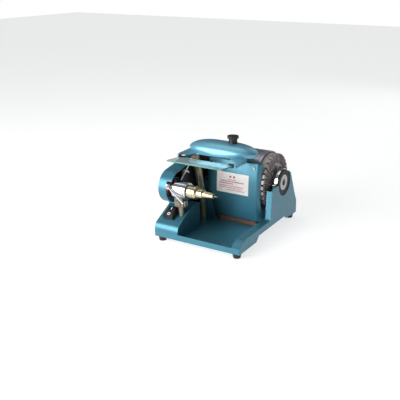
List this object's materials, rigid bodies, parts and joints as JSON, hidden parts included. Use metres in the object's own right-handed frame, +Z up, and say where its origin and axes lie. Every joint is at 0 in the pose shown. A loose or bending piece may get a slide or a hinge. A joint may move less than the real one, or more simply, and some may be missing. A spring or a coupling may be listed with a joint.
{
  "type": "cabbing machine",
  "caption": "Bench machine for carving and polishing stones: belt-driven horizontal spindle with a collet, tray base, splash cover, hood lamp, tilting glass shield and rocker switch.",
  "frame": {"origin": "on the bench, under the middle of the base", "axes": "+X to the operator's right along the spindle, +Y away from the operator, +Z up"},
  "size_m": [0.24, 0.326, 0.2468],
  "materials": {
    "teal_paint": "gloss teal enamel",
    "hood_paint": "gloss light teal enamel",
    "rubber_black": "matt black rubber",
    "zinc_steel": "zinc plated",
    "dark_plate": "dark grey satin paint",
    "machined_steel": "turned",
    "lilac_enamel": "grey lilac gloss enamel",
    "cast_alloy": "die cast",
    "warm_alloy": "lacquered alloy, warm tone",
    "copper_winding": "varnished winding",
    "cream_plastic": "moulded",
    "chrome": "polished chrome",
    "brass": "yellow zinc",
    "nickel_gold": "polished nickel, slightly warm",
    "white_label": "printed label",
    "phenolic": "brown phenolic board",
    "red_plastic": "gloss red",
    "burr_steel": "dark tool steel",
    "white_tube": "white coated tube",
    "lamp_white": "opal glass",
    "bronze_chrome": "polished, warm",
    "black_plastic": "moulded black",
    "clear_glass": "clear float glass, polished edges"
  },
  "bodies": {
    "frame": {"base_pan": "teal_paint", "control_pod": "teal_paint", "foot_front_left": "rubber_black", "foot_front_right": "rubber_black", "foot_rear_left": "rubber_black", "foot_rear_right": "rubber_black", "foot_screws": "zinc_steel", "stand_left": "teal_paint", "stand_right": "teal_paint", "belt_guard": "teal_paint", "guard_plate": "dark_plate", "guard_screws": "zinc_steel", "drive_belt": "rubber_black", "motor_shell": "lilac_enamel", "end_bell_left": "warm_alloy", "end_bell_right": "cast_alloy", "stator": "copper_winding", "motor_bearings": "machined_steel", "hub_rings": "rubber_black", "clamp_straps": "chrome", "strap_screws": "brass", "splash_cover": "teal_paint", "cover_screws": "zinc_steel", "label_plate": "white_label", "packing_strip": "phenolic", "quill_housing": "chrome", "spindle_bearings": "machined_steel", "bearing_spacer": "machined_steel", "seal_collar": "dark_plate", "lever_bracket": "machined_steel", "lever_screw": "zinc_steel", "head_post": "chrome", "drip_pipe": "white_tube", "hood_shell": "hood_paint", "lamp_tube": "lamp_white", "lamp_holders": "cream_plastic", "hood_column": "bronze_chrome", "hood_stud": "zinc_steel", "shield_pins": "black_plastic", "switch_body": "black_plastic", "power_inlet": "black_plastic", "start_capacitor": "zinc_steel"},
    "rotor_assembly": {"rotor": "machined_steel", "motor_shaft": "machined_steel", "motor_pulley": "machined_steel", "cooling_fan": "cream_plastic"},
    "spindle_assembly": {"spindle_shaft": "machined_steel", "spindle_pulley": "machined_steel", "chuck_body": "nickel_gold", "collet_nut": "nickel_gold", "collet": "nickel_gold", "arbor_tip": "burr_steel"},
    "paddle": {"release_paddle": "red_plastic"},
    "lever": {"release_lever": "chrome"},
    "post_ring": {"lock_ring": "chrome"},
    "tap": {"drip_tap": "white_tube"},
    "clamp_knob": {"hood_knob": "black_plastic"},
    "shield": {"shield_glass": "clear_glass", "shield_clips": "black_plastic"},
    "rocker": {"switch_rocker": "black_plastic"}
  },
  "joints": [
    {"name": "rotor_spin", "type": "hinge", "parent": "frame", "child": "rotor_assembly", "pos_m": [0, 0.079, 0.122], "axis": [1, 0, 0], "continuous": true},
    {"name": "spindle_spin", "type": "hinge", "parent": "frame", "child": "spindle_assembly", "pos_m": [-0.06, -0.12, 0.13], "axis": [1, 0, 0], "continuous": true},
    {"name": "paddle_turn", "type": "hinge", "parent": "frame", "child": "paddle", "pos_m": [-0.091, -0.12, 0.13], "axis": [1, 0, 0], "range_deg": [-20, 30]},
    {"name": "lever_swing", "type": "hinge", "parent": "frame", "child": "lever", "pos_m": [-0.089, -0.146, 0.143], "axis": [0, 1, 0], "range_deg": [-40, 35]},
    {"name": "ring_turn", "type": "hinge", "parent": "frame", "child": "post_ring", "pos_m": [-0.0675, -0.12, 0.097], "axis": [0, 0, 1], "range_deg": [-180, 180]},
    {"name": "tap_turn", "type": "hinge", "parent": "frame", "child": "tap", "pos_m": [-0.0745, -0.07753, 0.16422], "axis": [1, 0, 0], "range_deg": [0, 90]},
    {"name": "knob_turn", "type": "hinge", "parent": "frame", "child": "clamp_knob", "pos_m": [0.006, 0.01, 0.24], "axis": [0, 0, 1], "continuous": true},
    {"name": "shield_tilt", "type": "hinge", "parent": "frame", "child": "shield", "pos_m": [0, -0.06, 0.193], "axis": [1, 0, 0], "range_deg": [-69, 6]},
    {"name": "switch_rock", "type": "hinge", "parent": "frame", "child": "rocker", "pos_m": [-0.092, -0.13016, 0.06985], "axis": [1, 0, 0], "range_deg": [-18, 0]}
  ],
  "couplings": [
    {"joint": "spindle_spin", "follows": "rotor_spin", "ratio": 2.1429}
  ]
}
